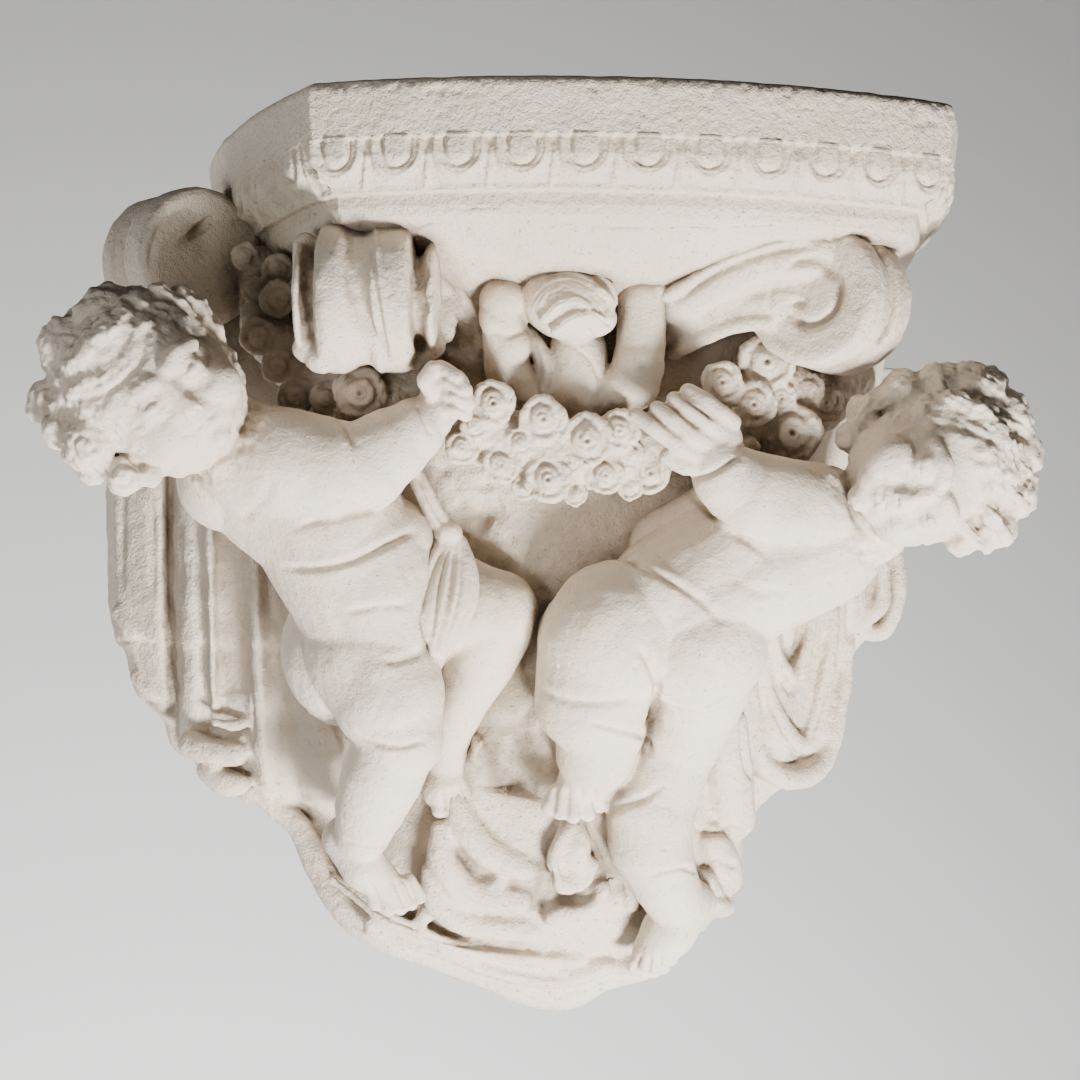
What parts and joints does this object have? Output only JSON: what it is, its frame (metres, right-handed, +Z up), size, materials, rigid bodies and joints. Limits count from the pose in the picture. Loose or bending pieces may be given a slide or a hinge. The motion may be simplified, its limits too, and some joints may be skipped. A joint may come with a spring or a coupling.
{
  "type": "corbel capital",
  "caption": "Cast plaster wall capital: children hold a rope of roses against draped cloth, below a bowed moulded abacus with an egg band and corner scrolls.",
  "frame": {"origin": "point on the flat back face where the capital is held to the wall, near mid height", "axes": "+X to the right of a viewer who faces it, +Y into the wall, +Z up"},
  "size_m": [0.5245, 0.2675, 0.4749],
  "materials": {
    "plaster": "matt cast plaster, coarse grain, grey and ochre dirt in the hollows"
  },
  "bodies": {
    "root": {"corbel_capital": "plaster"}
  },
  "joints": []
}
